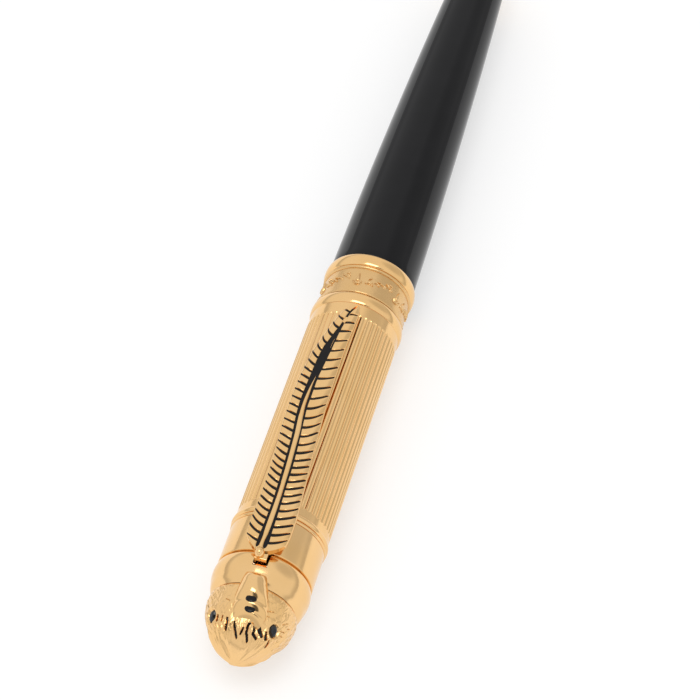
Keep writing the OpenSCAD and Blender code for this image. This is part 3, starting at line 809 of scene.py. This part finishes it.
def make_head():
    """The eagle's head: a dome with a feathered surface, screwed down on the collar."""
    rows, columns = 200, 640
    t, r, normal_t, normal_r = dome_profile(rows)
    azimuths = np.arange(columns) / columns * TAU - math.pi
    T, S = np.meshgrid(t, azimuths, indexing="ij")
    lift = head_relief(T, r[:, None], S)
    lift *= smoothstep(T, NECK_T, NECK_T + 0.25)
    lift[-1, :] = 0
    outer = head_points(T + lift * normal_t[:, None], r[:, None] + lift * normal_r[:, None], S)
    inside = [(SCREW_TOP_T, 0.0), (SCREW_TOP_T, 1.42), (NECK_T, 1.42)]
    inner = [pen_points(place, radius, azimuths) for place, radius in inside]
    points = np.concatenate([outer, np.array(inner)])
    faces = grid_faces(len(points), columns, close_rows=True, close_columns=True)
    # no faces run along the axis, from the crown to the end of the screw's hole
    faces = np.delete(faces, slice((rows - 1) * columns, rows * columns), axis=0)
    make_piece("eagle_head_feathered", points, faces, "cap", GOLD_CAST, ["eagle_head"],
               sharp=60)


def make_slit_painted_shade():
    """A black sheet in the depth of the tuft's slits: painted shade that makes them read dark."""
    places, radii, normal_t, normal_r = dome_profile(400)
    t = np.linspace(62.3, 65.6, 70)
    azimuths = np.radians(np.linspace(-62, 48, 200))
    T, S = np.meshgrid(t, azimuths, indexing="ij")
    r, n_t, n_r = (np.interp(T, places, c) for c in (radii, normal_t, normal_r))
    base = head_relief(T, r, S, slits=False)
    top, bottom = (head_points(T + (base - d) * n_t, r + (base - d) * n_r, S) for d in (0.24, 0.5))
    ring = np.concatenate([top, bottom[:, ::-1]], axis=1)
    rows, columns = ring.shape[:2]
    # the black sheet paints the shade in the deep slits
    make_piece("head_slit_painted_shade", ring, closed_sheet_faces(rows, columns), "cap", ENAMEL_AND_PAINTED_SHADE)


def closed_sheet_faces(rows, columns):
    """Faces of a sheet whose columns run over the top and back under the bottom, with both ends closed."""
    faces = grid_faces(rows, columns, close_columns=True).tolist()
    for row in (0, rows - 1):
        for k in range(columns // 2 - 1):
            faces.append([row * columns + k, row * columns + k + 1, row * columns + columns - 2 - k,
                          row * columns + columns - 1 - k])
    return faces


def make_beak():
    """The beak: a broad ridge with two hollows that hold painted dark reflection, from the brow to its blunt
    end over the neck.
    """
    steps, around = 90, 64
    u = np.linspace(0, 1, steps)
    # places along the ridge: t, sideways y, height of the top, half-width, thickness
    top_t = smooth_curve([
        (0, 63.0), (0.18, 62.2), (0.36, 61.2), (0.55, 60.0), (0.75, 58.6), (0.9, 57.5), (1, 56.85)])(u)
    side = smooth_curve([(0, -0.75), (0.25, -0.66), (0.5, -0.4), (0.75, -0.15), (1, 0.1)])(u)
    height = smooth_curve([
        (0, 5.2), (0.12, 5.95), (0.3, 6.7), (0.5, 7.12), (0.65, 7.34), (0.8, 7.44), (0.92, 7.32),
        (1, 6.85)])(u)
    half = smooth_curve([
        (0, 1.5), (0.12, 1.9), (0.4, 2.35), (0.65, 2.15), (0.8, 1.85), (0.9, 1.55), (0.96, 1.2), (1, 0.6)])(u)
    deep = smooth_curve([(0, 0.7), (0.3, 1.5), (0.6, 1.85), (0.85, 1.5), (0.95, 1.0), (1, 0.35)])(u)
    hollows = ((0.46, 0.085, 0.42), (0.26, 0.085, 0.42))
    valley = sum(depth * np.exp(-((u - place) / reach) ** 2) for place, reach, depth in hollows)
    angle = np.arange(around) / around * TAU
    slope = np.gradient(height, top_t)
    size = np.hypot(1, slope)
    points = []
    for k in range(steps):
        # each section is an oval in the plane across the ridge, its top pulled to a soft crest
        x = half[k] * np.sin(angle)
        z = np.cos(angle)
        z = deep[k] * np.sign(z) * np.abs(z) ** 1.4
        z = z - valley[k] * np.clip(np.cos(angle), 0, 1) ** 0.6
        down = z - deep[k]
        points.append(flat_points(top_t[k] + down * slope[k] / size[k] * 0.8, side[k] + x, height[k] + down))
    make_piece("eagle_beak", np.array(points), tube_faces(steps, around), "cap", GOLD, sharp=60)
    # each hollow holds a black sheet: a painted dark reflection, not a part of the beak
    for index, (place, _, depth) in enumerate(hollows):
        k = int(place * (steps - 1))
        drop = [(0.02, -0.3), (0.56, -0.3), (0.68, -0.1), (0.6, 0.06), (0.38, 0.15), (0.02, 0.18)]
        outline = [(r, height[k] - depth + 0.02 + h) for r, h in drop]
        upright("beak_hollow_painted_shade_%d" % (index + 1), top_t[k], side[k], outline,
                "cap", ENAMEL_AND_PAINTED_SHADE, squeeze=1.1)


def make_eye(name, node):
    """A faceted almond of black stone, set in its socket."""
    place, azimuth = EYES[name]
    side = 1 if azimuth > 0 else -1
    long_half, short_half, corners = 0.86, 0.58, 12
    tilt = math.radians(38) * side
    rings = [(-0.5, 1.0), (-0.12, 1.0), (0.06, 0.74), (0.14, 0.40)]
    points = []
    for depth, share in rings:
        for k in range(corners):
            a = k / corners * TAU
            along = long_half * share * math.copysign(abs(math.cos(a)) ** 0.95, math.cos(a))
            across = short_half * share * math.copysign(abs(math.sin(a)) ** 1.15, math.sin(a))
            dt = along * math.cos(tilt) - across * math.sin(tilt)
            ds = along * math.sin(tilt) + across * math.cos(tilt)
            points.append(dome_points(place + dt, azimuth + ds / FACE_R, depth))
    faces = tube_faces(len(rings), corners)
    make_piece(name + "_eye_faceted", np.array(points), faces, "cap", STONE, [node], sharp=5)


make_relief_band()
make_collar()
make_head()
make_slit_painted_shade()
make_beak()
make_eye("left", "left_eye")
make_eye("right", "right_eye")


# ---- Clip ----

CLIP_TIP_T = height_of("feather_clip", 0)
CLIP_ROOT_T = COLLAR_T + 0.9
FEATHER_T = 0.9
LINE_DEPTH = 0.30
ENAMEL_LEVEL = -0.15

left_edge = smooth_curve([
    (10.4, -0.4), (10.7, 0.3), (11.2, 0.88), (12.4, 1.45), (13.75, 1.82), (15.4, 2.2), (16.8, 2.5),
    (18.7, 2.88), (20, 3.15), (21.6, 3.3), (24.5, 3.55), (28.4, 3.62), (32, 3.57), (35, 3.4), (37.5, 3.15),
    (42, 2.95), (47, 2.9), (50.3, 3.0), (52, 2.8), (53, 2.3), (54.1, 1.3)])
right_edge = smooth_curve([
    (10.4, -0.9), (11, -1.1), (13, -1.2), (18, -1.1), (21, -1.15), (28, -1.35), (33, -1.67), (37.7, -2.0),
    (41, -2.28), (44.3, -2.53), (46.7, -2.7), (49, -2.78), (51.8, -2.67), (52.7, -2.5), (53.8, -1.6),
    (54.1, -1.2)])

# the black lines on the two sides of the quill: middle and half-width
left_line = smooth_curve([
    (10.4, -0.62), (11.8, 0.0), (13, 0.25), (14.5, 0.46), (16, 0.8), (17.5, 1.1), (19, 1.33), (21, 1.47),
    (23, 1.6), (25, 1.78), (27, 1.93), (29, 2.0), (32, 1.85), (35, 1.5), (38, 1.27), (42, 1.03), (46, 0.87),
    (50, 0.9), (54.1, 0.97)])
left_line_half = smooth_curve([
    (10.4, 0.03), (11.0, 0.09), (12.2, 0.14), (14.5, 0.19), (16, 0.24), (17.5, 0.29), (19, 0.42),
    (21, 0.50), (23, 0.47), (25, 0.34), (27, 0.25), (30, 0.19), (33, 0.16), (42, 0.15), (50, 0.16),
    (53, 0.19), (53.5, 0.14), (53.75, 0.0), (54.1, 0.0)])
right_line = smooth_curve([
    (10.4, -0.78), (11.8, -0.16), (13, 0.08), (14, 0.27), (16, 0.55), (18, 0.68), (20, 0.82), (22, 0.98),
    (25, 1.18), (28, 1.15), (30, 1.13), (32, 0.93), (35, 0.58), (37, 0.42), (40, 0.2), (44, 0.05),
    (48, -0.1), (51, -0.12), (54.1, -0.02)])
right_line_half = smooth_curve([
    (10.4, 0.0), (13.5, 0.0), (14.5, 0.05), (18, 0.10), (22, 0.14), (28, 0.15), (32, 0.11), (34, 0.07),
    (37, 0.11), (44, 0.12), (48, 0.14), (51, 0.18), (53, 0.26), (53.5, 0.17), (53.75, 0.0), (54.1, 0.0)])

# where each barb starts at the quill, and how far towards the tip its end drops, by its number
BARBS = {
    "left": (32, smooth_curve([(0, 52.67), (4, 47.9), (8, 43.2), (12, 38.6), (16, 33.2), (20, 27.8),
                               (24, 22.7), (28, 16.8), (31, 11.8)]),
             smooth_curve([(-1.3, 1.85), (0, 0.85), (1, 1.35), (4, 1.15), (12, 1.1), (15, 0.7), (19, 0.6),
                           (22, 0.75), (24, 1.1), (27, 1.5), (29, 1.25), (31, 0.6), (33, 0)])),
    "right": (28, smooth_curve([(0, 52.75), (4, 47.6), (8, 42.8), (12, 38.0), (16, 32.1), (20, 24.95),
                                (23, 19.6), (25, 15.75), (27, 12.3)]),
              smooth_curve([(-1.3, 1.95), (0, 1.4), (4, 1.4), (12, 1.3), (14, 1.7), (17, 1.8), (19, 1.2),
                            (21, 1.3), (24, 0.9), (26, 0.5), (27, 0.4), (29, 0)])),
}


def feather_height(t):
    """Height of the feather's top surface over the axis."""
    u = (t - CLIP_TIP_T) / (CLIP_ROOT_T - CLIP_TIP_T)
    return 7.47 + 2.9 * u - 2.37 * u * u


def barb_number(side, places):
    """The number, with fractions, of the barb that starts at each place."""
    count, start, _ = BARBS[side]
    numbers = np.linspace(0, count - 1, 600)
    starts = start(numbers)
    inside = np.interp(-places, -starts, numbers)
    above = np.maximum(0, places - starts[0]) / (CLIP_ROOT_T - starts[0]) * 1.3
    below = np.maximum(0, starts[-1] - places) / (starts[-1] - CLIP_TIP_T) * 2
    return inside - above + below


def vane_points(side, places, shares):
    """t, y, and distance to the middle of the nearest barb line for a vane's grid; a share is 0 at the
    quill's line and 1 at the edge."""
    count, start, drop = BARBS[side]
    number = barb_number(side, places)
    power = 1.9 + 1.8 * np.clip(-number / 1.3, 0, 1)
    t = places[:, None] - drop(number)[:, None] * shares[None, :] ** power[:, None]
    if side == "left":
        near, edge = left_line(places) + left_line_half(places) + 0.03, left_edge
    else:
        near, edge = right_line(places) - right_line_half(places) - 0.03, right_edge
    y = near[:, None] * (1 - shares) + edge(t) * shares
    whole = np.clip(np.round(number), 0, count - 1)
    spacing = np.abs(np.gradient(start(np.arange(count)))[whole.astype(int)])
    return t, y, (number - whole) * spacing, spacing


def vane_shape(shares):
    """Height of a vane's plain surface under the feather's top, from the quill's line to the edge."""
    outer = np.clip((shares - 0.35) / 0.65, 0, 1)
    inner = np.clip((0.35 - shares) / 0.35, 0, 1)
    return 0.04 - 0.36 * outer**2 - 0.08 * inner**2


LEFT_SHARES = np.array([1, 0.985, 0.95, 0.88, 0.8, 0.72, 0.64, 0.56, 0.48, 0.4, 0.32, 0.24, 0.16, 0.08, 0])
RIGHT_SHARES = np.array([0, 0.08, 0.16, 0.24, 0.32, 0.4, 0.48, 0.56, 0.64, 0.7, 0.76, 0.82, 0.86, 0.9, 0.94,
                         0.975, 1])


def vane_surface(side, places, shares):
    """Points t, y and height of a vane's engraved surface."""
    t, y, distance, spacing = vane_points(side, places, shares)
    width = np.abs(y[:, -1] - y[:, 0])
    v = shares[None, :]
    off = np.abs(distance)[:, None]
    barbs = np.abs(distance / spacing) < 0.55
    half = 0.19 * (1 - 0.15 * v)
    depth = 1 - smoothstep(off, half - 0.04, half + 0.05)
    if side == "right":
        end = 1 - 0.17 / np.maximum(width, 0.4)[:, None]
        depth = depth * (1 - smoothstep(v, end - 0.05, end + 0.03))
    crease = np.clip(1 - 2 * off / spacing[:, None], 0, 1) ** 3
    down = np.where(barbs[:, None], LINE_DEPTH * depth + 0.09 * crease, 0)
    edge = 0.09 * np.clip((v - 0.95) / 0.05, 0, 1) ** 2
    return t, y, feather_height(t) + vane_shape(v) - down - edge


def quill_columns(places):
    """y and height over the plain surface of the columns that cross the two black lines and the quill."""
    c, h = left_line(places), np.maximum(left_line_half(places), 0.001)
    d, g = right_line(places), np.maximum(right_line_half(places), 0.001)
    gap = (c - h) - (d + g)
    merged = np.minimum(gap, 0) / 2
    inner_left, inner_right = c - h - merged, d + g + merged
    quill = smoothstep(gap, 0.0, 0.10)
    crest = 0.10 * smoothstep(gap, 0.08, 0.35)
    left_depth = LINE_DEPTH * smoothstep(h, 0.02, 0.08)
    right_depth = LINE_DEPTH * smoothstep(g, 0.02, 0.08)
    sunk = -np.maximum(left_depth, right_depth) * (1 - quill)
    lip = 0.035
    y = [c + h - lip, inner_left + lip, inner_left - np.minimum(lip, np.maximum(gap, 0) / 4)]
    z = [-left_depth, -left_depth, sunk + 0.02 * quill]
    middle = (inner_left + inner_right) / 2
    for share, rise in ((0.55, 0.8), (0.0, 1.0), (-0.55, 0.8)):
        y.append(middle + share * np.maximum(gap, 0) / 2)
        z.append(sunk + crest * rise)
    y += [inner_right + np.minimum(lip, np.maximum(gap, 0) / 4), inner_right - lip, d - g + lip]
    z += [sunk + 0.02 * quill, -right_depth, -right_depth]
    return np.array(y).T, np.array(z).T


def feather_grid(places, surface):
    """t, y and height of a whole row of columns, from the left edge over the quill to the right edge."""
    lt, ly, lh = surface("left", places, LEFT_SHARES)
    rt, ry, rh = surface("right", places, RIGHT_SHARES)
    qy, qz = quill_columns(places)
    qt = np.repeat(places[:, None], qy.shape[1], axis=1)
    # columns never cross, even where a line fades out
    qy = np.clip(qy, ry[:, :1] + 0.004, ly[:, -1:] - 0.004)
    qh = feather_height(qt) + vane_shape(0.0) + qz
    return np.hstack([lt, qt, rt]), np.hstack([ly, qy, ry]), np.hstack([lh, qh, rh])


def make_feather():
    """The sprung clip: a feather with engraved barbs beside a raised quill."""
    places = np.linspace(CLIP_TIP_T, CLIP_ROOT_T, 881)
    t, y, height = feather_grid(places, vane_surface)
    top = flat_points(t, y, height)
    bottom = flat_points(t, y, feather_height(t) - FEATHER_T)[:, ::-1]
    ring = np.concatenate([top, bottom], axis=1)
    faces = closed_sheet_faces(*ring.shape[:2])
    make_piece("feather_clip_engraved", ring, faces, "clip", GOLD, ["feather_clip"], sharp=48)


def make_enamel():
    """The black enamel: a thin sheet that shows only in the feather's engraved lines."""
    places = np.linspace(CLIP_TIP_T + 0.7, CLIP_ROOT_T - 0.35, 220)

    def plain(side, places, shares):
        t, y, _, _ = vane_points(side, places, shares)
        middle = y[:, -1:] if side == "right" else y[:, :1]
        y = y - 0.012 * np.sign(middle)
        return t, y, feather_height(t) + vane_shape(shares[None, :])

    t, y, height = feather_grid(places, plain)
    quill = slice(len(LEFT_SHARES), t.shape[1] - len(RIGHT_SHARES))
    height[:, quill] = feather_height(t[:, quill]) + vane_shape(0.0)
    top = flat_points(t, y, height + ENAMEL_LEVEL)
    bottom = flat_points(t, y, height - LINE_DEPTH - 0.02)[:, ::-1]
    ring = np.concatenate([top, bottom], axis=1)
    faces = closed_sheet_faces(*ring.shape[:2])
    make_piece("clip_enamel_inlay", ring, faces, "clip", ENAMEL_AND_PAINTED_SHADE, ["clip_enamel"], sharp=30)


def make_clip_root():
    """The knob at the quill's root, the foot that turns on the pin, its arm, and the pad at the tip."""
    knob_t = (CLIP_ROOT_T + COLLAR_T) / 2 + 0.78
    knob = [(0.62, 7.0), (0.7, 7.35)]
    knob += [(0.78 * math.sin(a) + 0.004, 7.85 + 0.88 * math.cos(a)) for a in np.linspace(1.75, 0.02, 16)]
    upright("clip_knob", knob_t, 0.33, knob, "clip", GOLD, squeeze=0.78)
    pin_low, pin_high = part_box("clip_pin")
    pin_t = (MOUTH_X - (pin_low.x + pin_high.x) / 2) / MM
    pin_height = ((pin_low.z + pin_high.z) / 2 - AXIS_Z) / MM
    pin_r = (pin_high.z - pin_low.z) / 2 / MM
    outline = rounded([
        (pin_t - 0.85, 3.9), (pin_t + 0.85, 3.9, 0), (pin_t + 0.85, 4.1, 0), (pin_t + 2.65, 4.1),
        (pin_t + 2.65, 5.3), (pin_t + 0.85, 5.3), (pin_t + 0.85, 7.7), (pin_t - 0.85, 7.7)], 0.15)
    points = [flat_points(t, y, h) for y in (-0.8, 0.8) for t, h in outline]
    foot = make_piece("clip_foot_and_arm", points, tube_faces(2, len(outline)), "clip", GOLD)
    segments = 40
    hole = [flat_points(pin_t + (pin_r + 0.05) * math.cos(a), y, pin_height + (pin_r + 0.05) * math.sin(a))
            for y in (-2, 2) for a in np.arange(segments) / segments * TAU]
    cut(foot, hole, tube_faces(2, segments))
    pad = [(0.45, 6.55), (0.62, 6.6), (0.7, 6.75), (0.7, 7.5)]
    upright("clip_pad", CLIP_TIP_T + 3.2, 0.2, pad, "clip", GOLD)


make_feather()
make_enamel()
make_clip_root()


# ---- Barrel ----

def barrel_r(distance):
    """Radius of the barrel at a distance behind the mouth."""
    return 6.29 - 0.012 * distance - 0.0003 * distance**2


def make_barrel():
    end = -height_of("barrel_shell", 0)
    places = np.linspace(0.25, end - 0.15, 60)
    outline = [(-0.07, 5.4), (-0.07, 6.14), (-0.1, 6.22), (-0.16, 6.27)]
    outline += [(-d, float(barrel_r(d))) for d in places]
    outline += [(-end + 0.06, float(barrel_r(end)) - 0.03), (-end, float(barrel_r(end)) - 0.1)]
    outline += [(-end, 3.7), (-end + 3.5, 3.7), (-end + 3.5, 3.9), (-14, 3.9), (-14, 5.4)]
    turn("barrel_lacquered", outline, "barrel", LACQUER, ["barrel_shell"])


def coil(name, node, place, material, mean_r, wire_r, turns, upward=False):
    """A round-wire compression spring with closed ends, between two bodies."""
    low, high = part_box(node)
    steps, sides = turns * 36 + 72, 12
    length = ((high.z - low.z) if upward else (high.x - low.x)) / MM - 2 * wire_r
    u = np.linspace(0, 1, steps)
    angle = u * (turns + 2) * TAU
    rise = length * smoothstep_line(u, 1 / (turns + 2))
    ring = np.arange(sides) / sides * TAU
    r = mean_r + wire_r * np.cos(ring)[None, :]
    lift = rise[:, None] + wire_r * np.sin(ring)[None, :]
    a, b = r * np.cos(angle)[:, None], r * np.sin(angle)[:, None]
    if upward:
        t0, h0 = place
        points = flat_points(t0 + a, b, h0 + wire_r + lift)
        start, end = flat_points(t0, 0, h0), flat_points(t0, 0, h0 + length + 2 * wire_r)
    else:
        t0 = place[0]
        points = flat_points(t0 + wire_r + lift, a, b)
        start, end = flat_points(t0, 0, 0), flat_points(t0 + length + 2 * wire_r, 0, 0)
    mesh = new_mesh(name, points, tube_faces(steps, sides))
    spring = add_object(name, mesh)
    weld(mesh)
    mesh.polygons.foreach_set("use_smooth", [True] * len(mesh.polygons))
    mesh.materials.append(material)
    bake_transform(spring)
    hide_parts(node)


def smoothstep_line(u, dead):
    """0 to 1 with flat ends, so that a spring's first and last turns close up."""
    return np.clip((u - 0.7 * dead) / (1 - 1.4 * dead), 0, 1)


def make_tail():
    """The gold ring and post that end the barrel."""
    end = height_of("barrel_shell", 0)
    post = height_of("tail_ring", 0)
    tail = height_of("tail_finial", 0)
    low, high = post + 0.02, end - 0.03
    turn("tail_ring_bead", [(low, 3.7)] + bead(low, high, 4.1, 4.34) + [(high, 3.7)],
         "barrel", GOLD, ["tail_ring"])
    seat = height_of("spring_seat", 0)
    outline = rounded([
        (tail + 0.12, 0.02, 0), (tail + 0.12, 2.9, 0.05), (tail, 3.05, 0.05), (tail, 3.55, 0.05),
        (tail + 0.5, 3.93, 0.25), (post - 0.45, 3.93, 0.05), (post - 0.35, 3.82, 0.05),
        (post - 0.22, 3.82, 0.05), (post - 0.12, 3.93, 0.05), (post, 3.93, 0), (post, 3.68, 0),
        (end + 3.4, 3.68, 0), (end + 3.4, 3.25, 0), (seat, 3.25, 0), (seat, 0.02, 0)], 0.2)
    turn("tail_finial_turned", outline, "barrel", GOLD, ["tail_finial"])


def make_section():
    """The threaded spigot, the gold ring, the grip and the nose cone of the writing end."""
    low, high = height_of("thread_spigot", 0), height_of("thread_spigot", 1)
    pitch, steps = 0.75, 10
    outline = [(low, 3.3), (low, 4.45), (low + 0.35, 4.62)]
    place = low + 0.5
    while place < -1.6:
        outline += [(place + pitch * s / steps, 4.66 + 0.12 * math.cos(TAU * s / steps))
                    for s in range(steps)]
        place += pitch
    outline += [(-1.2, 4.45), (-0.25, 4.45), (-0.2, 4.78), (-0.03, 4.78), (-0.03, 3.88), (high, 3.88),
                (high, 3.3)]
    turn("thread_spigot_turned", outline, "section", BRASS, ["thread_spigot"])
    ring_top = height_of("section_ring", 1)
    ring_r = radius_of("section_ring")
    outline = rounded([
        (0, 3.92, 0), (0, ring_r), (0.45, ring_r, 0.08), (0.55, ring_r - 0.12, 0.05),
        (0.8, ring_r - 0.12, 0.05), (0.9, ring_r, 0.08), (ring_top, ring_r), (ring_top, 3.92, 0)], 0.2)
    turn("section_ring_polished", outline, "section", GOLD, ["section_ring"])
    top = height_of("grip_section", 1)
    places = np.linspace(6, top - 0.15, 40)
    waist = 4.1 + 0.45 * (1 + np.cos((places - 6) / (top - 6) * math.pi))
    snap_t, snap_r, grip_r = 3.5, 0.3, 5.0
    notch = [(snap_t + snap_r * math.sin(a), grip_r - snap_r * math.cos(a))
             for a in np.linspace(-math.pi / 2, math.pi / 2, 12)]
    outline = [(ring_top, 3.92), (ring_top, 4.93), (ring_top + 0.08, 4.99)] + notch + [(5.5, grip_r)]
    outline += list(zip(places, waist)) + [(top - 0.03, 4.08), (top - 0.03, 3.16), (10.1, 3.16), (10.1, 3.92)]
    turn("grip_section_polished", outline, "section", RESIN, ["grip_section"])
    wire = 0.24
    outline = [(snap_t + wire * math.sin(a), grip_r - wire * math.cos(a)) for a in np.arange(16) / 16 * TAU]
    turn("snap_ring_wire", outline, "section", STEEL, ["snap_ring"])
    end = height_of("nose_cone", 1)
    outline = rounded([
        (top, 3.16, 0), (top, 4.08, 0.05), (top + 0.35, 4.08, 0.05), (top + 0.45, 3.98, 0.03),
        (top + 0.6, 3.98, 0.03), (top + 0.7, 4.07, 0.05), (top + 2, 3.99, 0.4), (39, 3.38, 3),
        (43, 2.58, 2), (end - 0.1, 1.75, 0.2), (end, 1.55, 0.1), (end, 1.31, 0), (41.1, 1.31, 0),
        (41.1, 2.31, 0), (33.1, 2.31, 0), (33.1, 3.16, 0)], 0.1)
    turn("nose_cone_polished", outline, "section", GOLD, ["nose_cone"])


def make_springs():
    coil("refill_spring_coil", "refill_spring", (height_of("refill_spring", 0),),
         STEEL, 2.6, 0.25, 6)
    low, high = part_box("clip_spring")
    coil("clip_spring_coil", "clip_spring", ((MOUTH_X - (low.x + high.x) / 2) / MM, (low.z - AXIS_Z) / MM),
         STEEL, 0.75, 0.12, 4, upward=True)


make_barrel()
make_tail()
make_section()
make_springs()

# the nodes that no piece stands for show as they are, each with its slot's finish
slots = {part["node"]: part["material_slot"] for part in frame["record"]["subparts"]}
for node_name, node in frame["nodes"].items():
    if not node.hide_render:
        node.data.materials.clear()
        node.data.materials.append(FINISHES[slots[node_name]])
